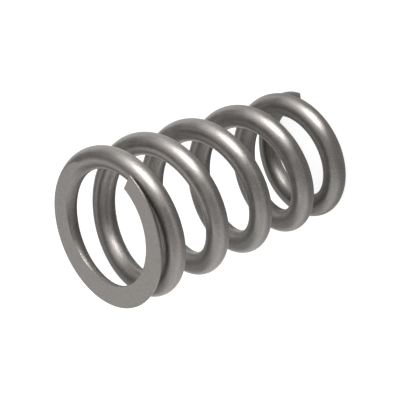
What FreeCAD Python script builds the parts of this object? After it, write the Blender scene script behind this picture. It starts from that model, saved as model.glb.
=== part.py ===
import FreeCAD, Part

import math
import os

import Sketcher

# Conical valve spring, unloaded.
# One length of round wire is coiled right-handed round the Z axis. Its two end turns are closed, and both
# ends are ground flat and square to the axis. The narrow end, which carries the retainer, stands on the
# plane Z = 0, and the wide end, which sits on the cylinder head, faces up. The wide tip of the wire points
# along +X from the axis. Lengths are in millimetres. Stretches of wire are counted in turns from the nearer
# tip.

SIZES = {
    "wire_diameter": 4.5,
    "free_length": 52.6,
    "total_turns": 5.9,
    # coil diameters are measured between wire centres
    "narrow_mean_diameter": 21.5,
    "wide_mean_diameter": 27.4,
    # turns at each end that keep the end's diameter, and turns over which the cone takes over from them
    "narrow_level_turns": 0.14,
    "wide_level_turns": 0.91,
    "taper_ramp_turns": 0.6,
    # turns at each end with the closed pitch, and turns over which the pitch then opens
    "narrow_closed_turns": 0.53,
    "narrow_opening_turns": 1.13,
    "wide_closed_turns": 0.14,
    "wide_opening_turns": 1.45,
    # free gap between each tip and the turn beside it
    "narrow_tip_gap": 1.3,
    "wide_tip_gap": 0.15,
    # what grinding leaves of the wire at each tip
    "narrow_tip_thickness": 0.9,
    "wide_tip_thickness": 1.2,
}

# spans that each turn of the centreline is drawn in, and the step in turns that its direction is read over
SPANS_PER_TURN = 6
DIRECTION_STEP = 0.0005


def make_sheet(doc):
    """Spreadsheet that holds each driving dimension in a cell of its own."""
    sheet = doc.addObject("Spreadsheet::Sheet", "Sizes")
    for row, (alias, value) in enumerate(SIZES.items(), start=1):
        sheet.set(f"A{row}", alias)
        sheet.set(f"B{row}", str(value))
        sheet.setAlias(f"B{row}", alias)
    doc.recompute()
    return sheet


def hold_passed(turn, kept, ramp):
    """Turns of hold passed so far: the hold is whole for the kept turns, then fades out over the ramp."""
    faded = min(max((turn - kept) / ramp, 0.0), 1.0)
    let_go = ramp * (faded**3 - faded**4 / 2) + max(turn - kept - ramp, 0.0)
    return turn - let_go


def coned_turns(sheet, turn):
    """Turns of cone passed so far: all of them, less those that keep the diameter of either end."""
    turns = sheet.total_turns
    narrow = (sheet.narrow_level_turns, sheet.taper_ramp_turns)
    wide = (sheet.wide_level_turns, sheet.taper_ramp_turns)
    return turn - hold_passed(turn, *narrow) - hold_passed(turns, *wide) + hold_passed(turns - turn, *wide)


def coil_radius(sheet, turn):
    """Radius of the centreline, which widens evenly with each turn of the cone."""
    narrow = sheet.narrow_mean_diameter / 2
    wide = sheet.wide_mean_diameter / 2
    return narrow + (wide - narrow) * coned_turns(sheet, turn) / coned_turns(sheet, sheet.total_turns)


def closing(sheet, end, turn):
    """Closing of one end passed, counted from its tip, as a share of what closes its first turn."""
    kept = sheet.get(f"{end}_closed_turns")
    ramp = sheet.get(f"{end}_opening_turns")
    return hold_passed(turn, kept, ramp) / hold_passed(1, kept, ramp)


def coil_height(sheet, turn):
    """Height of the centreline: it climbs by the open pitch, less what the closing of each end takes away.

    The first turn from each tip climbs by the wire and the tip's gap, and the open pitch is what then fills
    the free length between the ground tips.
    """
    turns = sheet.total_turns
    wire = sheet.wire_diameter
    narrow_climb = wire + sheet.narrow_tip_gap
    wide_climb = wire + sheet.wide_tip_gap
    narrow_closing = closing(sheet, "narrow", turns)
    wide_closing = closing(sheet, "wide", turns)

    lowest = sheet.narrow_tip_thickness - wire / 2
    highest = sheet.free_length - sheet.wide_tip_thickness + wire / 2
    open_climb = highest - lowest - narrow_climb * narrow_closing - wide_climb * wide_closing
    open_pitch = open_climb / (turns - narrow_closing - wide_closing)

    narrow_taken = (open_pitch - narrow_climb) * closing(sheet, "narrow", turn)
    wide_taken = (open_pitch - wide_climb) * (wide_closing - closing(sheet, "wide", turns - turn))
    return lowest + open_pitch * turn - narrow_taken - wide_taken


def centre_point(sheet, turn):
    """Point of the centreline, a number of turns from the narrow tip."""
    angle = 2 * math.pi * (turn - sheet.total_turns)
    radius = coil_radius(sheet, turn)
    return FreeCAD.Vector(radius * math.cos(angle), radius * math.sin(angle), coil_height(sheet, turn))


def centre_direction(sheet, turn):
    """Direction of the centreline towards the wide tip, read between two points close to either side."""
    ahead = centre_point(sheet, turn + DIRECTION_STEP)
    behind = centre_point(sheet, turn - DIRECTION_STEP)
    return (ahead - behind).normalize()


def tangent_arc(start, leaving, end):
    """Arc that leaves its start in a given direction and runs to its end."""
    chord = end - start
    inward = (chord - leaving * chord.dot(leaving)).normalize()
    radius = chord.dot(chord) / (2 * chord.dot(inward))
    centre = start + inward * radius
    middle = centre + (start + end - centre * 2).normalize() * radius
    return Part.Arc(start, middle, end).toShape()


def arc_pair(start, leaving, end, arriving):
    """Two arcs, tangent where they meet, that leave the start and reach the end in the given directions."""
    chord = end - start
    along = chord.dot(leaving + arriving)
    bend = 2 * (1 - leaving.dot(arriving))
    reach = (math.sqrt(along**2 + bend * chord.dot(chord)) - along) / bend
    meeting = (start + end + (leaving - arriving) * reach) * 0.5
    through = (meeting - start - leaving * reach).normalize()
    return [tangent_arc(start, leaving, meeting), tangent_arc(meeting, through, end)]


def make_centreline(doc, sheet):
    """Line along the middle of the wire, from the narrow tip to the wide one: a chain of tangent arcs."""
    spans = math.ceil(sheet.total_turns * SPANS_PER_TURN)
    stations = [sheet.total_turns * span / spans for span in range(spans + 1)]
    arcs = []
    for near, far in zip(stations, stations[1:]):
        leaving = centre_direction(sheet, near)
        arriving = centre_direction(sheet, far)
        arcs += arc_pair(centre_point(sheet, near), leaving, centre_point(sheet, far), arriving)
    centreline = doc.addObject("Part::Feature", "Centreline")
    centreline.Shape = Part.Wire(arcs)
    centreline.Placement = FreeCAD.Placement()
    return centreline


def add_circle(sketch, name, diameter):
    """Circle about the sketch's origin whose diameter is bound to the sheet."""
    circle = sketch.addGeometry(Part.Circle(), False)
    sketch.addConstraint(Sketcher.Constraint("Coincident", circle, 3, -1, 1))
    row = sketch.addConstraint(Sketcher.Constraint("Diameter", circle, SIZES["wire_diameter"]))
    sketch.renameConstraint(row, name)
    sketch.setExpression(f"Constraints.{name}", diameter)


def coil_wire(body, centreline):
    """Round wire carried along the centreline, square to it all the way."""
    section = body.newObject("Sketcher::SketchObject", "WireSection")
    section.AttachmentSupport = [(centreline, "Edge1")]
    section.MapMode = "NormalToEdge"
    add_circle(section, "wire", "Sizes.wire_diameter")

    coil = body.newObject("PartDesign::AdditivePipe", "CoiledWire")
    coil.Profile = section
    coil.Spine = (centreline, [f"Edge{edge + 1}" for edge in range(len(centreline.Shape.Edges))])
    coil.Mode = "Standard"


def grind_end(body, name, height, upwards):
    """Flat ground square to the axis at a height, with the wire beyond it taken off."""
    plane = next(item for item in body.Origin.OriginFeatures if item.Role == "XY_Plane")
    wheel = body.newObject("Sketcher::SketchObject", f"{name}Wheel")
    wheel.AttachmentSupport = [(plane, "")]
    wheel.MapMode = "FlatFace"
    wheel.setExpression("AttachmentOffset.Base.z", height)
    add_circle(wheel, "reach", "2 * Sizes.wide_mean_diameter")

    ground = body.newObject("PartDesign::Pocket", f"{name}Ground")
    ground.Profile = wheel
    ground.Type = "ThroughAll"
    ground.Reversed = upwards


def make_spring(doc, centreline):
    """The spring as it is made: coiled, then ground at both ends."""
    body = doc.addObject("PartDesign::Body", "ValveSpring")
    body.Label = "valve_spring"
    body.Placement = FreeCAD.Placement()
    coil_wire(body, centreline)
    doc.recompute()
    grind_end(body, "NarrowEnd", "0", upwards=False)
    grind_end(body, "WideEnd", "Sizes.free_length", upwards=True)
    return body


def check(doc, parts):
    """Stop if a feature failed, or if a part isn't one sound solid."""
    for item in doc.Objects:
        if "Invalid" in item.State or "Error" in item.State:
            raise RuntimeError(f"{item.Name} failed: {item.State}")
    for part in parts:
        shape = part.Shape
        if shape.isNull() or not shape.isValid() or len(shape.Solids) != 1:
            raise RuntimeError(f"{part.Label} isn't one sound solid")


def main():
    """Build the spring, test it and write its file."""
    doc = FreeCAD.newDocument("ValveSpring")
    sheet = make_sheet(doc)
    centreline = make_centreline(doc, sheet)
    parts = [make_spring(doc, centreline)]
    doc.recompute()
    check(doc, parts)

    os.makedirs("parts", exist_ok=True)
    for part in parts:
        part.Shape.exportStep(f"parts/{part.Label}.step")
        print(f"{part.Label}: {part.Shape.Volume:.1f} mm3, from {centreline.Shape.Length:.1f} mm of wire")


main()
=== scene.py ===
import logging
import math
from dataclasses import dataclass
from enum import Enum
from typing import Any

import bpy
import numpy as np
from mathutils import Matrix, Vector


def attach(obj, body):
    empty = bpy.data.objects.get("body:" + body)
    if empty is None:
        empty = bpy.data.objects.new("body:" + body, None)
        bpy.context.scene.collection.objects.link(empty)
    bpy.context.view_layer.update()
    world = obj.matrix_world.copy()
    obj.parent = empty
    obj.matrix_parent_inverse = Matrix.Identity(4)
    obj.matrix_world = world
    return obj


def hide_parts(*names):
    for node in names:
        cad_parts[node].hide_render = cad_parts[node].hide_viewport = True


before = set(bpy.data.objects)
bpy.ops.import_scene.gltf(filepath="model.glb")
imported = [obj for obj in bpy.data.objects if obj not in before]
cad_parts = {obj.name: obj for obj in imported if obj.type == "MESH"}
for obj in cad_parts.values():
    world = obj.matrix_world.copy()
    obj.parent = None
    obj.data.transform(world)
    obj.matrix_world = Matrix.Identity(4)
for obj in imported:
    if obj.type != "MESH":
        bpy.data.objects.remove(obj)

# A conical valve spring of round steel wire, closed and ground at both ends, in metres.
# It stands on its narrow end at Z = 0, its wide end faces up, and the wide tip of the wire points along +X.

log = logging.getLogger("valve_spring")

MM = 0.001
BODY = "root"
PIECE = "spring_coil"
WHITE = (1.0, 1.0, 1.0, 1.0)

# attribute with the place that each point had in the wire before it was coiled
STRAIGHT_WIRE = "straight_wire"

# value that noise varies about
NOISE_MIDDLE = 0.5

# how near to a ground plane a point counts as on it
ON_PLANE = 1e-8


class Surface(Enum):
    """The surfaces of the finished wire, in the order of the mesh's material slots."""

    WIRE = 0
    GROUND = 1
    SHEARED = 2


class Value:
    """One output socket of a shader graph. Python's operators on it add Math nodes."""

    def __init__(self, graph: "Graph", socket: bpy.types.NodeSocket) -> None:
        """Wrap a socket of a graph."""
        self.graph = graph
        self.socket = socket

    def __add__(self, other: "Value | float") -> "Value":
        """Sum."""
        return self.graph.math("ADD", self, other)

    def __mul__(self, other: "Value | float") -> "Value":
        """Product."""
        return self.graph.math("MULTIPLY", self, other)

    __radd__ = __add__
    __rmul__ = __mul__


class Graph:
    """The node tree of one material or world, emptied and then written as expressions."""

    def __init__(self, tree: bpy.types.NodeTree) -> None:
        """Empty a node tree, to build in it."""
        self.tree = tree
        tree.nodes.clear()

    def node(self, kind: str, settings: dict[str, Any] | None = None, **inputs: Any) -> bpy.types.Node:
        """Add a node.

        Args:
            kind: The node's type without the leading "ShaderNode".
            settings: Properties of the node, set before its sockets; "ramp" holds the two stops of a colour
                ramp, each as (place, grey).
            inputs: Value or link of each input socket, by the socket's name with spaces as underscores, or
                by "i" and its number.

        Returns:
            The new node.
        """
        new = self.tree.nodes.new("ShaderNode" + kind)
        for name, value in (settings or {}).items():
            if name == "ramp":
                for stop, (place, grey) in zip(new.color_ramp.elements, value):
                    stop.position = place
                    stop.color = (grey, grey, grey, 1.0)
            else:
                setattr(new, name, value)
        for name, value in inputs.items():
            numbered = name[0] == "i" and name[1:].isdigit()
            socket = new.inputs[int(name[1:])] if numbered else new.inputs[name.replace("_", " ")]
            if isinstance(value, Value):
                self.tree.links.new(value.socket, socket)
            else:
                socket.default_value = value
        return new

    def out(self, node: bpy.types.Node, name: str | int = 0) -> Value:
        """One output of a node."""
        return Value(self, node.outputs[name])

    def math(self, operation: str, first: Value | float, second: Value | float) -> Value:
        """A Math node's result."""
        return self.out(self.node("Math", {"operation": operation}, i0=first, i1=second))

    def greater(self, first: Value, second: Value) -> Value:
        """The larger of two values at each point."""
        return self.math("MAXIMUM", first, second)

    def scaled(self, place: Value, scale: tuple[float, float, float], turn: float = 0.0) -> Value:
        """Coordinates turned about Z and then stretched, for a pattern with its own grain.

        Args:
            place: Coordinates in metres.
            scale: Pattern units per metre along each axis.
            turn: Angle of the grain about Z, in radians.

        Returns:
            The pattern's coordinates.
        """
        turned = self.node("Mapping", {"vector_type": "TEXTURE"}, Vector=place, Rotation=(0.0, 0.0, turn))
        return self.out(self.node("VectorMath", {"operation": "MULTIPLY"}, i0=self.out(turned), i1=scale))

    def even(self, place: Value, size: float) -> Value:
        """Coordinates in metres, made those of a pattern whose features have one size all ways."""
        return self.scaled(place, (1.0 / size,) * 3)

    def noise(self, place: Value, detail: float, roughness: float = 0.5) -> Value:
        """Smooth noise of about 0 to 1, with features of about one pattern unit."""
        made = self.node("TexNoise", None, Vector=place, Scale=1.0, Detail=detail, Roughness=roughness)
        return self.out(made, "Fac")

    def mixed(self, patterns: tuple[Value, ...], shares: tuple[float, ...]) -> Value:
        """Patterns added up, each times its share. One with no share is left out."""
        parts = [pattern * share for pattern, share in zip(patterns, shares) if share]
        return sum(parts[1:], parts[0])

    def ramp(self, value: Value, low: tuple[float, float], high: tuple[float, float]) -> Value:
        """A value read through a low and a high stop of (place, result)."""
        made = self.node("ValToRGB", {"ramp": (low, high)}, Fac=value)
        return self.out(made, "Color")

    def stretched(self, value: Value, band: float) -> Value:
        """A pattern with more contrast: what lies within a band of its middle fills 0 to 1."""
        return self.ramp(value, (NOISE_MIDDLE - band, 0.0), (NOISE_MIDDLE + band, 1.0))

    def tint(self, share: Value, first: tuple[float, ...], second: tuple[float, ...]) -> Value:
        """A colour between two, by a share of the second."""
        # a Mix node takes colours at its inputs 6 and 7, and gives one at its output 2
        made = self.node("Mix", {"data_type": "RGBA"}, i0=share, i6=(*first, 1.0), i7=(*second, 1.0))
        return self.out(made, 2)

    def bump(self, height: Value, depth: float, strength: float = 1.0) -> Value:
        """Normals of a surface whose height goes from 0 to a depth in metres."""
        made = self.node("Bump", None, Height=height, Distance=depth, Strength=strength)
        return self.out(made, "Normal")

    def shown(self, direct: float, glossy: float, cast: float) -> Value:
        """Strength of a background by what looks at it.

        Args:
            direct: Strength for the camera, and through glass.
            glossy: Strength in reflections.
            cast: Strength as a light on matt things.

        Returns:
            The strength.
        """
        path = self.node("LightPath")
        seen = self.greater(self.out(path, "Is Camera Ray"), self.out(path, "Is Transmission Ray"))
        return seen * (direct - cast) + self.out(path, "Is Glossy Ray") * (glossy - cast) + cast


@dataclass(frozen=True)
class SteelFinish:
    """Bare steel. A subclass gives its grain; the lights do the rest.

    Shares say how much each of a grain's patterns counts, and a band is the contrast of their sum.
    """

    name: str = "steel"
    dark: tuple[float, float, float] = (0.200, 0.188, 0.178)
    light: tuple[float, float, float] = (0.305, 0.287, 0.272)
    roughness: float = 0.42
    roughness_swing: float = 0.06

    def grain(self, graph: Graph) -> tuple[Value, Value, Value]:
        """Patterns of the finish.

        Args:
            graph: The material's graph.

        Returns:
            Share of the light tone, share of the roughness swing (each about 0 to 1), and the normal.
        """
        raise NotImplementedError

    def material(self) -> bpy.types.Material:
        """Make the finish a material.

        Returns:
            The material: bare metal whose colour and roughness go between their limits by the grain.
        """
        made = bpy.data.materials.new(self.name)
        made.use_nodes = True
        graph = Graph(made.node_tree)
        tone, gloss, normal = self.grain(graph)
        steel = graph.node(
            "BsdfPrincipled",
            None,
            Base_Color=graph.tint(tone, self.dark, self.light),
            Metallic=1.0,
            Roughness=gloss * (2.0 * self.roughness_swing) + (self.roughness - self.roughness_swing),
            Normal=normal,
        )
        graph.node("OutputMaterial", None, Surface=graph.out(steel))
        return made


@dataclass(frozen=True)
class PeenedWire(SteelFinish):
    """Spring wire as drawn, coiled and shot peened: a satin skin of tiny dimples over faint drawing lines.

    The drawing lines run along the wire, because they are noise on the place that each point had in the
    straight wire, stretched along its length. Shares are those of the lines, the mottle and the dimples.
    """

    name: str = "peened_spring_wire"
    line_width: float = 0.22 * MM
    line_length: float = 9.0 * MM
    mottle: float = 2.2 * MM
    mottle_roughness: float = 0.55
    dimple: float = 0.24 * MM
    dimple_depth: float = 0.0012 * MM
    tone_shares: tuple[float, float, float] = (0.2, 0.2, 0.6)
    tone_band: float = 0.16
    gloss_shares: tuple[float, float, float] = (0.4, 0.6, 0.0)
    gloss_band: float = 0.15
    height_shares: tuple[float, float, float] = (0.2, 0.0, 0.8)

    def grain(self, graph: Graph) -> tuple[Value, Value, Value]:
        """Lines, mottle and dimples, each its own noise.

        Args:
            graph: The material's graph.

        Returns:
            Tone, gloss and normal, as sums of the three by their shares.
        """
        place = graph.out(graph.node("TexCoord"), "Object")
        straight = graph.out(graph.node("Attribute", {"attribute_name": STRAIGHT_WIRE}), "Vector")
        across, along = 1.0 / self.line_width, 1.0 / self.line_length
        patterns = (
            graph.noise(graph.scaled(straight, (across, across, along)), detail=3.0),
            graph.noise(graph.even(place, self.mottle), detail=4.0, roughness=self.mottle_roughness),
            graph.noise(graph.even(place, self.dimple), detail=2.0),
        )
        tone = graph.stretched(graph.mixed(patterns, self.tone_shares), self.tone_band)
        gloss = graph.stretched(graph.mixed(patterns, self.gloss_shares), self.gloss_band)
        return tone, gloss, graph.bump(graph.mixed(patterns, self.height_shares), self.dimple_depth)


@dataclass(frozen=True)
class GroundFace(SteelFinish):
    """Flat left by the grinding wheel: a matt grey with a close grain of fine crossing scratches.

    The scratches are two lays of stretched noise, of which the higher one counts. Angles are in radians,
    and shares are those of the scratches, the cloudiness and the pits.
    """

    name: str = "ground_spring_end"
    dark: tuple[float, float, float] = (0.280, 0.264, 0.251)
    light: tuple[float, float, float] = (0.382, 0.361, 0.343)
    roughness: float = 0.5
    scratch_width: float = 0.07 * MM
    scratch_length: float = 3.5 * MM
    scratch_depth: float = 0.001 * MM
    lay: float = 0.6
    cross: float = 0.45
    cloud: float = MM / 0.9
    pit: float = 0.26 * MM
    tone_shares: tuple[float, float, float] = (0.3, 0.25, 0.45)
    tone_band: float = 0.12
    gloss_shares: tuple[float, float, float] = (0.5, 0.5, 0.0)
    gloss_band: float = 0.15

    def grain(self, graph: Graph) -> tuple[Value, Value, Value]:
        """Two lays of scratches, a little apart in direction, with fine pits and a soft cloudiness.

        Args:
            graph: The material's graph.

        Returns:
            Tone and gloss, as sums of the three by their shares, and the normal, which the scratches give.
        """
        place = graph.out(graph.node("TexCoord"), "Object")
        across, along = 1.0 / self.scratch_width, 1.0 / self.scratch_length
        first, second = (
            graph.noise(graph.scaled(place, (along, across, along), turn), detail=2.0)
            for turn in (self.lay, self.lay + self.cross)
        )
        scratches = graph.greater(first, second)
        patterns = (
            scratches,
            graph.noise(graph.even(place, self.cloud), detail=3.0),
            graph.noise(graph.even(place, self.pit), detail=2.0),
        )
        tone = graph.stretched(graph.mixed(patterns, self.tone_shares), self.tone_band)
        gloss = graph.stretched(graph.mixed(patterns, self.gloss_shares), self.gloss_band)
        return tone, gloss, graph.bump(scratches, self.scratch_depth)


@dataclass(frozen=True)
class ShearedTip(SteelFinish):
    """Cut end of the wire: torn steel, duller than the skin, with a coarse grain that runs down the cut."""

    name: str = "sheared_wire_tip"
    roughness: float = 0.5
    tear_width: float = 0.3 * MM
    tear_length: float = 1.2 * MM
    tear_depth: float = 0.03 * MM
    tear_strength: float = 0.8

    def grain(self, graph: Graph) -> tuple[Value, Value, Value]:
        """One noise, longer along Z than across.

        Args:
            graph: The material's graph.

        Returns:
            Tone, gloss and normal, all of that noise.
        """
        place = graph.out(graph.node("TexCoord"), "Object")
        across, along = 1.0 / self.tear_width, 1.0 / self.tear_length
        torn = graph.noise(graph.scaled(place, (across, across, along)), detail=4.0)
        return torn, torn, graph.bump(torn, self.tear_depth, self.tear_strength)


@dataclass(frozen=True)
class EndCoil:
    """How one end of the spring is wound and ground. Stretches are in turns from that end's tip."""

    mean_diameter: float
    level_turns: float
    closed_turns: float
    opening_turns: float
    tip_gap: float
    tip_thickness: float


@dataclass(frozen=True)
class ValveSpring:
    """The spring, as one closed skin swept along the wire.

    A turn is counted from the narrow tip. Mean diameters are between wire centres.
    """

    wire: float = 4.5 * MM
    free_length: float = 52.6 * MM
    turns: float = 5.9
    taper_ramp: float = 0.6
    narrow: EndCoil = EndCoil(
        mean_diameter=21.5 * MM,
        level_turns=0.14,
        closed_turns=0.53,
        opening_turns=1.13,
        tip_gap=1.3 * MM,
        tip_thickness=0.9 * MM,
    )
    wide: EndCoil = EndCoil(
        mean_diameter=27.4 * MM,
        level_turns=0.91,
        closed_turns=0.14,
        opening_turns=1.45,
        tip_gap=0.15 * MM,
        tip_thickness=1.2 * MM,
    )

    # radii of the broken edges of the ground faces and of the cut tips
    edge_break: float = 0.13 * MM
    tip_break: float = 0.1 * MM

    # rows in a turn of the wire, and rings that close a cut face, as shares of the way out from its middle
    rows_per_turn: int = 144
    face_rings: tuple[float, ...] = (0.3, 0.65)

    # columns over half of a ground face, over its broken edge, and down the side of the wire
    flat_steps: int = 6
    edge_steps: int = 3
    side_steps: int = 28

    # least angle that the columns of a ground face take up; turns past the face before they spread, and
    # turns that they spread over
    least_spread: float = math.radians(3.0)
    spread_delay: float = 0.01
    spread_ramp: float = 0.3

    # step in turns that the centreline's direction is read over, each way
    slope_step: float = 1e-4

    @staticmethod
    def held(turn: np.ndarray | float, kept: float, ramp: float) -> np.ndarray:
        """Turns of hold passed: all at first, then a share that fades by a smoothstep over the ramp."""
        # the integral of the smoothstep 3t^2 - 2t^3 over a ramp is ramp (t^3 - t^4 / 2)
        faded = np.clip((turn - kept) / ramp, 0.0, 1.0)
        return turn - ramp * (faded**3 - faded**4 / 2) - np.maximum(turn - kept - ramp, 0.0)

    def coned(self, turn: np.ndarray | float) -> np.ndarray:
        """Turns of cone passed: the turn, less those that keep the diameter of either end.

        Args:
            turn: Turns from the narrow tip.

        Returns:
            The turns of cone up to there.
        """
        narrow = self.held(turn, self.narrow.level_turns, self.taper_ramp)
        wide_whole = self.held(self.turns, self.wide.level_turns, self.taper_ramp)
        wide_left = self.held(self.turns - turn, self.wide.level_turns, self.taper_ramp)
        return turn - narrow - (wide_whole - wide_left)

    def radius(self, turn: np.ndarray) -> np.ndarray:
        """Radius of the centreline, from the narrow to the wide one in step with the turns of cone."""
        low, high = self.narrow.mean_diameter / 2, self.wide.mean_diameter / 2
        return low + (high - low) * self.coned(turn) / self.coned(self.turns)

    def closing(self, end: EndCoil, turn: np.ndarray | float) -> np.ndarray:
        """Closing of an end passed since its tip, as a share of what closes its first turn."""
        whole = self.held(1.0, end.closed_turns, end.opening_turns)
        return self.held(turn, end.closed_turns, end.opening_turns) / whole

    def height(self, turn: np.ndarray) -> np.ndarray:
        """Height of the centreline: the open pitch times the turn, less what the closing of each end takes.

        The first turn from a tip climbs by the wire and the tip's gap, and the open pitch fills the rest of
        the free length.

        Args:
            turn: Turns from the narrow tip.

        Returns:
            The height there.
        """
        lowest = self.narrow.tip_thickness - self.wire / 2
        highest = self.free_length - self.wide.tip_thickness + self.wire / 2
        narrow_climb = self.wire + self.narrow.tip_gap
        wide_climb = self.wire + self.wide.tip_gap
        narrow_whole = self.closing(self.narrow, self.turns)
        wide_whole = self.closing(self.wide, self.turns)
        rest = highest - lowest - narrow_climb * narrow_whole - wide_climb * wide_whole
        pitch = rest / (self.turns - narrow_whole - wide_whole)
        narrow_taken = (pitch - narrow_climb) * self.closing(self.narrow, turn)
        wide_taken = (pitch - wide_climb) * (wide_whole - self.closing(self.wide, self.turns - turn))
        return lowest + pitch * turn - narrow_taken - wide_taken

    def centreline(self, turn: np.ndarray) -> np.ndarray:
        """Points of the centreline: (R cos a, R sin a, Z), with the angle a zero at the wide tip.

        Args:
            turn: Turns from the narrow tip.

        Returns:
            One point a row.
        """
        angle = 2 * math.pi * (turn - self.turns)
        radius = self.radius(turn)
        return np.stack([radius * np.cos(angle), radius * np.sin(angle), self.height(turn)], axis=-1)

    def axes(self, turn: np.ndarray) -> tuple[np.ndarray, np.ndarray, np.ndarray]:
        """Directions at each section of the wire.

        Args:
            turn: Where the sections are.

        Returns:
            Along the wire (the centreline's slope), level and square to it (pointing inwards), and upwards,
            which is the cross product of the two.
        """
        along = self.centreline(turn + self.slope_step) - self.centreline(turn - self.slope_step)
        along /= np.linalg.norm(along, axis=1, keepdims=True)
        inward = np.stack([-along[:, 1], along[:, 0], np.zeros(len(turn))], axis=1)
        inward /= np.linalg.norm(inward, axis=1, keepdims=True)
        return along, inward, np.cross(along, inward)

    def stations(self) -> tuple[np.ndarray, np.ndarray, np.ndarray]:
        """Where the sections stand.

        The wire has even rows. At each tip, a quarter round of rows breaks the edge, and rows that shrink
        towards the middle close the cut face.

        Returns:
            Turn, inset from the wire's skin and shrinkage towards the section's middle, for each row.
        """
        quarter = np.linspace(0.0, math.pi / 2, self.edge_steps + 1)
        back = self.tip_break * (1 - np.sin(quarter))
        inset = self.tip_break * (1 - np.cos(quarter))
        per_metre = 1.0 / (2 * math.pi * self.radius(np.array([0.0, self.turns])))
        near = back[::-1] * per_metre[0]
        far = self.turns - back * per_metre[1]
        spans = int(self.turns * self.rows_per_turn)
        middle = np.linspace(near[-1], far[0], spans + 1)[1:-1]

        turn = np.concatenate([near, middle, far])
        insets = np.concatenate([inset[::-1], np.zeros(len(middle)), inset])
        shrink = np.concatenate([self.face_rings, np.ones(len(turn)), self.face_rings[::-1]])
        rings = len(self.face_rings)
        return np.pad(turn, rings, mode="edge"), np.pad(insets, rings, mode="edge"), shrink

    @property
    def ground_steps(self) -> int:
        """Columns from the middle of a ground face to where the side of the wire begins."""
        return self.flat_steps + self.edge_steps

    def spread(self, from_tip: np.ndarray, cut: np.ndarray) -> np.ndarray:
        """Least angle that the columns of a ground face and its edges take up, from the middle of the face.

        It is narrow up to where the face runs out, then widens by a smoothstep to those columns' even share
        of the half section.

        Args:
            from_tip: Turns from the face's own tip to each row.
            cut: Distance from the middle of the wire to the plane of the face.

        Returns:
            Angle in radians for each row.
        """
        even = math.pi * self.ground_steps / (2 * self.ground_steps + self.side_steps)
        run_out = from_tip[cut < self.wire / 2].max()
        passed = np.clip((from_tip - run_out - self.spread_delay) / self.spread_ramp, 0.0, 1.0)
        return self.least_spread + (even - self.least_spread) * passed**2 * (3 - 2 * passed)

    def ground_side(
        self, cut: np.ndarray, reach: np.ndarray, spread: np.ndarray
    ) -> tuple[np.ndarray, np.ndarray, np.ndarray]:
        """Half of a section on the side where a wheel may have cut it, from the middle of the cut outwards.

        A section is a circle of radius r. The flat lies at a distance c from its middle. The broken edge is
        an arc of radius e that touches both, about the point (x, c - e), where x^2 + (c - e)^2 = (r - e)^2,
        and it meets the circle at the angle atan2(x, c - e) from the middle of the flat. Where the wheel
        has missed the wire, or only just touched it, the columns share out an angle of the circle instead,
        and are held back at the flat.

        Args:
            cut: Distance c of each row.
            reach: Radius r of each row.
            spread: Least angle that the flat and its edge take up, for each row.

        Returns:
            Places as (across, towards the flat), the outward directions at them in the same axes, and the
            angle at which the side of the wire begins.
        """
        pivot = cut - self.edge_break
        room = (reach - self.edge_break) ** 2 - pivot**2
        half = np.sqrt(np.maximum(room, 0.0))
        begins = np.where(cut < reach, np.arctan2(half, pivot), 0.0)
        out_to_edge = np.linspace(0.0, 1.0, self.flat_steps + 1)
        flat = np.stack(np.broadcast_arrays(half[:, None] * out_to_edge, cut[:, None]), axis=-1)
        flat_out = np.broadcast_to(np.array([0.0, 1.0]), flat.shape)
        edge_angle = begins[:, None] * np.linspace(0.0, 1.0, self.edge_steps + 1)[1:]
        edge_out = np.stack([np.sin(edge_angle), np.cos(edge_angle)], axis=-1)
        edge = np.stack([half, pivot], axis=-1)[:, None, :] + self.edge_break * edge_out
        ground = np.concatenate([flat, edge], axis=1)
        ground_out = np.concatenate([flat_out, edge_out], axis=1)

        angle = spread[:, None] * np.linspace(0.0, 1.0, self.ground_steps + 1)
        whole_out = np.stack([np.sin(angle), np.cos(angle)], axis=-1)
        whole = whole_out * reach[:, None, None]
        whole[..., 1] = np.minimum(whole[..., 1], cut[:, None])

        is_ground = (begins > spread)[:, None, None]
        places = np.where(is_ground, ground, whole)
        outward = np.where(is_ground, ground_out, whole_out)
        return places, outward, np.maximum(begins, spread)

    def on_ends(self, height: np.ndarray) -> tuple[np.ndarray, np.ndarray]:
        """Which heights lie in the plane of the lower ground end, and which in that of the upper one."""
        return np.isclose(height, 0.0, atol=ON_PLANE), np.isclose(height, self.free_length, atol=ON_PLANE)

    def skin(self) -> tuple[np.ndarray, np.ndarray, np.ndarray, np.ndarray]:
        """The whole surface as a grid of rows along the wire and columns round it.

        A point is the section's middle, plus its two coordinates in the section along the level and the
        upward direction there.

        Returns:
            Points, outward directions and places in the straight wire, each of shape (rows, columns, 3),
            and which rows belong to the two cut faces.
        """
        turn, inset, shrink = self.stations()
        centre = self.centreline(turn)
        along, inward, upward = self.axes(turn)
        reach = self.wire / 2 - inset
        slope = upward[:, 2]
        below = centre[:, 2] / slope - inset
        above = (self.free_length - centre[:, 2]) / slope - inset
        low, low_out, low_angle = self.ground_side(below, reach, self.spread(turn, below))
        high, high_out, high_angle = self.ground_side(above, reach, self.spread(self.turns - turn, above))

        share = np.linspace(0.0, 1.0, self.side_steps + 1)[1:-1]
        angle = low_angle[:, None] + (math.pi - high_angle - low_angle)[:, None] * share
        side_out = np.stack([np.sin(angle), -np.cos(angle)], axis=-1)
        side = side_out * reach[:, None, None]
        half = np.concatenate([low * (1, -1), side, high[:, ::-1]], axis=1)
        half_out = np.concatenate([low_out * (1, -1), side_out, high_out[:, ::-1]], axis=1)
        section = np.concatenate([half, half[:, -2:0:-1] * (-1, 1)], axis=1)
        out = np.concatenate([half_out, half_out[:, -2:0:-1] * (-1, 1)], axis=1)

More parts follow.
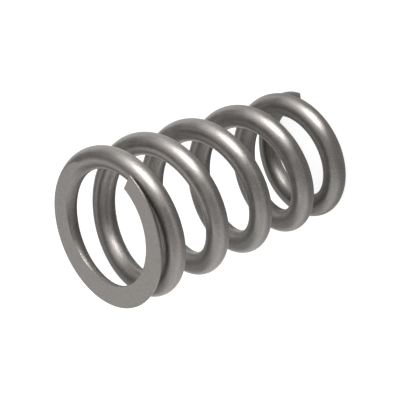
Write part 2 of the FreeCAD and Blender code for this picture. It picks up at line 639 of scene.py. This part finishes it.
        # the rings of a cut face shrink towards the middle of what the wheel has left
        middle = (np.minimum(above, reach) - np.minimum(below, reach)) / 2
        middle = np.stack([np.zeros(len(turn)), middle], axis=-1)[:, None, :]
        section = middle + (section - middle) * shrink[:, None, None]
        axes = np.stack([inward, upward], axis=1)
        points = centre[:, None, :] + section @ axes

        cut_rows = np.isclose(inset, self.tip_break)
        endwise = np.where(turn < self.turns / 2, -1.0, 1.0)[:, None] * along
        normals = np.where(cut_rows[:, None, None], endwise[:, None, :], out @ axes)
        for on_end, facing in zip(self.on_ends(points[..., 2]), (-1.0, 1.0)):
            is_flat = on_end & ~cut_rows[:, None]
            normals = np.where(is_flat[..., None], (0.0, 0.0, facing), normals)

        gone = np.linalg.norm(np.diff(centre, axis=0), axis=1)
        length = np.concatenate([[0.0], np.cumsum(gone)])[:, None, None]
        straight = np.concatenate([section, np.broadcast_to(length, (*section.shape[:2], 1))], axis=-1)
        return points, normals, straight, cut_rows

    @staticmethod
    def faces(rows: int, columns: int) -> tuple[np.ndarray, np.ndarray]:
        """Corners of the faces of a tube of points, closed by a pole at each end.

        Points are numbered row by row, and the two poles come last. A quad joins two points beside each other
        in a row to the same two of the next row.

        Args:
            rows: Rows along the tube.
            columns: Points round each row.

        Returns:
            The quads, row by row, and the triangles that join the first and the last row to their poles.
        """
        row, column = np.meshgrid(np.arange(rows - 1), np.arange(columns), indexing="ij")
        after = (column + 1) % columns
        this, beyond = row * columns, (row + 1) * columns
        quads = np.stack([this + column, this + after, beyond + after, beyond + column], axis=-1)

        ring = np.arange(columns)
        beside = (ring + 1) % columns
        last = (rows - 1) * columns
        first_pole = np.full(columns, rows * columns)
        fans = np.concatenate(
            [
                np.stack([first_pole, beside, ring], axis=-1),
                np.stack([first_pole + 1, last + ring, last + beside], axis=-1),
            ]
        )
        return quads.reshape(-1, quads.shape[-1]), fans

    def mesh(self, name: str) -> bpy.types.Mesh:
        """The skin as a closed mesh, with a point in the middle of each cut face.

        Args:
            name: The mesh's name.

        Returns:
            The mesh, with its normals, its straight-wire attribute and each face's surface as its material
            index.
        """
        points, normals, straight, cut_rows = self.skin()
        rows, columns = points.shape[:2]
        quads, fans = self.faces(rows, columns)

        def with_poles(grid: np.ndarray, first: np.ndarray, last: np.ndarray) -> np.ndarray:
            """All points of a grid, then those of the two poles."""
            return np.concatenate([grid.reshape(-1, 3), first[None], last[None]]).astype(np.float32)

        places = with_poles(points, points[0].mean(axis=0), points[-1].mean(axis=0))
        outward = with_poles(normals, normals[0, 0], normals[-1, 0])
        uncoiled = with_poles(straight, straight[0].mean(axis=0), straight[-1].mean(axis=0))

        made = bpy.data.meshes.new(name)
        made.vertices.add(len(places))
        made.vertices.foreach_set("co", places.ravel())
        made.loops.add(quads.size + fans.size)
        made.loops.foreach_set("vertex_index", np.concatenate([quads.ravel(), fans.ravel()]).astype(np.int32))
        made.polygons.add(len(quads) + len(fans))
        corners = np.repeat([quads.shape[1], fans.shape[1]], [len(quads), len(fans)])
        made.polygons.foreach_set("loop_start", (np.cumsum(corners) - corners).astype(np.int32))

        flat = np.logical_or(*self.on_ends(places[:, 2]))
        surface = np.where(flat[quads].all(axis=1), Surface.GROUND.value, Surface.WIRE.value)
        in_tip = np.repeat(cut_rows[:-1] & cut_rows[1:], columns)
        surface = np.where(in_tip, Surface.SHEARED.value, surface)
        surface = np.concatenate([surface, np.full(len(fans), Surface.SHEARED.value)])
        made.polygons.foreach_set("material_index", surface.astype(np.int32))
        made.polygons.foreach_set("use_smooth", np.ones(len(surface), dtype=bool))
        kept = made.attributes.new(STRAIGHT_WIRE, "FLOAT_VECTOR", "POINT")
        kept.data.foreach_set("vector", uncoiled.ravel())
        made.update(calc_edges=True)
        made.validate()
        lengths = np.linalg.norm(outward, axis=1, keepdims=True)
        made.normals_split_custom_set_from_vertices((outward / lengths).tolist())
        return made

    def build(self) -> bpy.types.Object:
        """Make the finished spring, in place of the CAD solid of the same shape.

        Returns:
            The spring, with its finishes.
        """
        mesh = self.mesh(PIECE)
        for finish in (PeenedWire(), GroundFace(), ShearedTip()):
            mesh.materials.append(finish.material())
        spring = bpy.data.objects.new(PIECE, mesh)
        bpy.context.scene.collection.objects.link(spring)
        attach(spring, BODY)
        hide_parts("valve_spring")
        return spring


def direction(azimuth: float, elevation: float) -> Vector:
    """Unit vector at an azimuth from +X towards +Y and an elevation above the floor, in degrees."""
    turn, rise = math.radians(azimuth), math.radians(elevation)
    return Vector((math.cos(turn) * math.cos(rise), math.sin(turn) * math.cos(rise), math.sin(rise)))


@dataclass(frozen=True)
class Softbox:
    """Lamp behind a diffuser, turned to the spring. Angles are in degrees, as seen from the spring."""

    name: str
    azimuth: float
    elevation: float
    width: float
    height: float
    radiance: float
    distance: float = 1.0
    colour: tuple[float, float, float] = (1.0, 1.0, 1.0)

    def build(self, aim: Vector) -> bpy.types.Object:
        """Make the lamp. Its power is its radiance times pi times its area.

        Args:
            aim: The point that it faces.

        Returns:
            The lamp.
        """
        data = bpy.data.lights.new(self.name, "AREA")
        data.shape = "RECTANGLE"
        data.size = self.width
        data.size_y = self.height
        data.energy = self.radiance * math.pi * self.width * self.height
        data.color = self.colour
        lamp = bpy.data.objects.new(self.name, data)
        towards = direction(self.azimuth, self.elevation)
        lamp.location = aim + towards * self.distance
        lamp.rotation_euler = towards.to_track_quat("Z", "Y").to_euler()
        bpy.context.scene.collection.objects.link(lamp)
        return lamp


@dataclass(frozen=True)
class PhotoCamera:
    """Camera at the photograph's viewing angle, rolled so that the spring lies across the frame.

    Angles are in degrees, and the lens and the sensor are in millimetres, as Blender has them.
    """

    aim: tuple[float, float, float] = (-1.864 * MM, -0.482 * MM, 28.146 * MM)
    azimuth: float = -29.818
    elevation: float = 36.732
    roll: float = -111.407
    distance: float = 618.2 * MM
    near_clip: float = 10.0 * MM
    lens: float = 283.79
    sensor: float = 36.0

    def build(self) -> bpy.types.Object:
        """Make the camera, and make it the scene's own.

        Returns:
            The camera.
        """
        data = bpy.data.cameras.new("photo_camera")
        data.lens = self.lens
        data.sensor_width = self.sensor
        data.clip_start = self.near_clip
        camera = bpy.data.objects.new("photo_camera", data)
        back = direction(self.azimuth, self.elevation)
        level = back.to_track_quat("Z", "Y").to_matrix()
        turned = level @ Matrix.Rotation(math.radians(self.roll), 3, "Z")
        camera.matrix_world = Matrix.Translation(Vector(self.aim) + back * self.distance) @ turned.to_4x4()
        bpy.context.scene.collection.objects.link(camera)
        bpy.context.scene.camera = camera
        return camera


@dataclass(frozen=True)
class Studio:
    """Plain pale floor, softboxes and an even surround. A background's strength of 1 is white."""

    # the floor, whose glow makes it show white, together with the light that falls on it
    floor_side: float = 6.0
    floor_drop: float = 0.02 * MM
    floor_albedo: float = 0.3
    floor_roughness: float = 0.25
    floor_glow: float = 0.85
    floor_gloss: float = 0.85

    # dark patch painted into the floor's glow, seen only in reflections, that paints dark reflected bands on
    # the wire: its middle, where it is whole, and where it ends
    painted_dark_at: tuple[float, float, float] = (46.0 * MM, -38.0 * MM, 0.0)
    painted_dark_core: float = 30.0 * MM
    painted_dark_reach: float = 100.0 * MM

    # the surround's strength for the camera, and for all else
    backdrop: float = 1.0
    surround: float = 0.37

    # softboxes by name, azimuth, elevation, width, height and radiance, turned to one point of the axis
    aim: tuple[float, float, float] = (0.0, 0.0, 27.0 * MM)
    lamps: tuple[Softbox, ...] = (
        Softbox("key_softbox", 12.0, 13.0, 0.56, 0.42, 15.6),
        Softbox("upper_softbox", 15.0, 36.0, 0.6, 0.35, 1.4),
        Softbox("side_softbox", 48.0, 18.0, 0.45, 0.8, 1.1),
        Softbox("top_softbox", 27.0, 50.0, 0.8, 0.5, 1.0),
        Softbox("far_softbox", 160.0, 48.0, 0.5, 0.5, 1.2),
        Softbox("left_softbox", 96.0, 6.0, 0.7, 0.25, 0.8),
        Softbox("back_softbox", 232.0, 12.0, 1.4, 0.6, 0.95),
        Softbox("high_softbox", 220.0, 48.0, 0.9, 0.5, 1.2, colour=(0.92, 0.98, 1.0)),
        Softbox("front_softbox", 283.0, 37.0, 0.5, 0.9, 0.3),
    )

    def floor_finish(self) -> bpy.types.Material:
        """Satin card, pale to the camera and in reflections, that still takes the spring's shadow.

        In front of the spring, a soft dark patch is painted into the card's glow, seen only in reflections;
        no flag or card is there. It paints dark reflected bands of shade on the wire: there the card's glow
        goes from none at the patch's core to all at its reach.

        Returns:
            The floor's material.
        """
        made = bpy.data.materials.new("studio_floor")
        made.use_nodes = True
        graph = Graph(made.node_tree)
        shade = (self.floor_albedo,) * 3 + (1.0,)
        satin = graph.node("BsdfPrincipled", None, Base_Color=shade, Roughness=self.floor_roughness)
        card = graph.out(satin)
        shown = graph.shown(self.floor_glow, self.floor_gloss, cast=0.0)
        glow = graph.out(graph.node("Emission", None, Color=WHITE, Strength=shown))
        lit = graph.out(graph.node("AddShader", None, i0=card, i1=glow))

        place = graph.out(graph.node("TexCoord"), "Object")
        # painted shade: a dark patch cut into the floor's glow for reflections only, with no card there,
        # paints dark bands on the wire
        distance = graph.node("VectorMath", {"operation": "DISTANCE"}, i0=place, i1=self.painted_dark_at)
        painted_dark_patch = graph.ramp(graph.out(distance, "Value"), (self.painted_dark_core, 1.0), (self.painted_dark_reach, 0.0))
        painted_dark_in_reflections = painted_dark_patch * graph.out(graph.node("LightPath"), "Is Glossy Ray")
        both = graph.node("MixShader", None, i0=painted_dark_in_reflections, i1=lit, i2=card)
        graph.node("OutputMaterial", None, Surface=graph.out(both))
        return made

    def floor(self) -> bpy.types.Object:
        """Make the floor: large, flat and a hair below the spring.

        Returns:
            The floor, which is no part of the spring.
        """
        half = self.floor_side / 2
        corners = [(-half, -half), (half, -half), (half, half), (-half, half)]
        mesh = bpy.data.meshes.new("studio_floor")
        mesh.from_pydata([(x, y, -self.floor_drop) for x, y in corners], [], [(0, 1, 2, 3)])
        mesh.materials.append(self.floor_finish())
        floor = bpy.data.objects.new("studio_floor", mesh)
        bpy.context.scene.collection.objects.link(floor)
        return floor

    def world(self) -> bpy.types.World:
        """Make the surround: even all round, white to the camera and dimmer as a light and in reflections.

        Returns:
            The scene's world.
        """
        world = bpy.data.worlds.new("studio_surround")
        world.use_nodes = True
        graph = Graph(world.node_tree)
        shown = graph.shown(self.backdrop, self.surround, self.surround)
        surround = graph.node("Background", None, Color=WHITE, Strength=shown)
        graph.node("OutputWorld", None, Surface=graph.out(surround))
        bpy.context.scene.world = world
        return world

    def build(self) -> None:
        """Floor, surround and lamps, with the view transform of a plain picture."""
        self.floor()
        self.world()
        for lamp in self.lamps:
            lamp.build(Vector(self.aim))
        bpy.context.scene.view_settings.view_transform = "Standard"


def main() -> None:
    """Build the spring and its studio, and report each piece."""
    logging.basicConfig(level=logging.INFO, format="%(message)s")
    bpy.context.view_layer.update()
    spring = ValveSpring().build()
    log.info("%s: %d vertices, %d faces", PIECE, len(spring.data.vertices), len(spring.data.polygons))
    Studio().build()
    PhotoCamera().build()


if __name__ == "__main__":
    main()
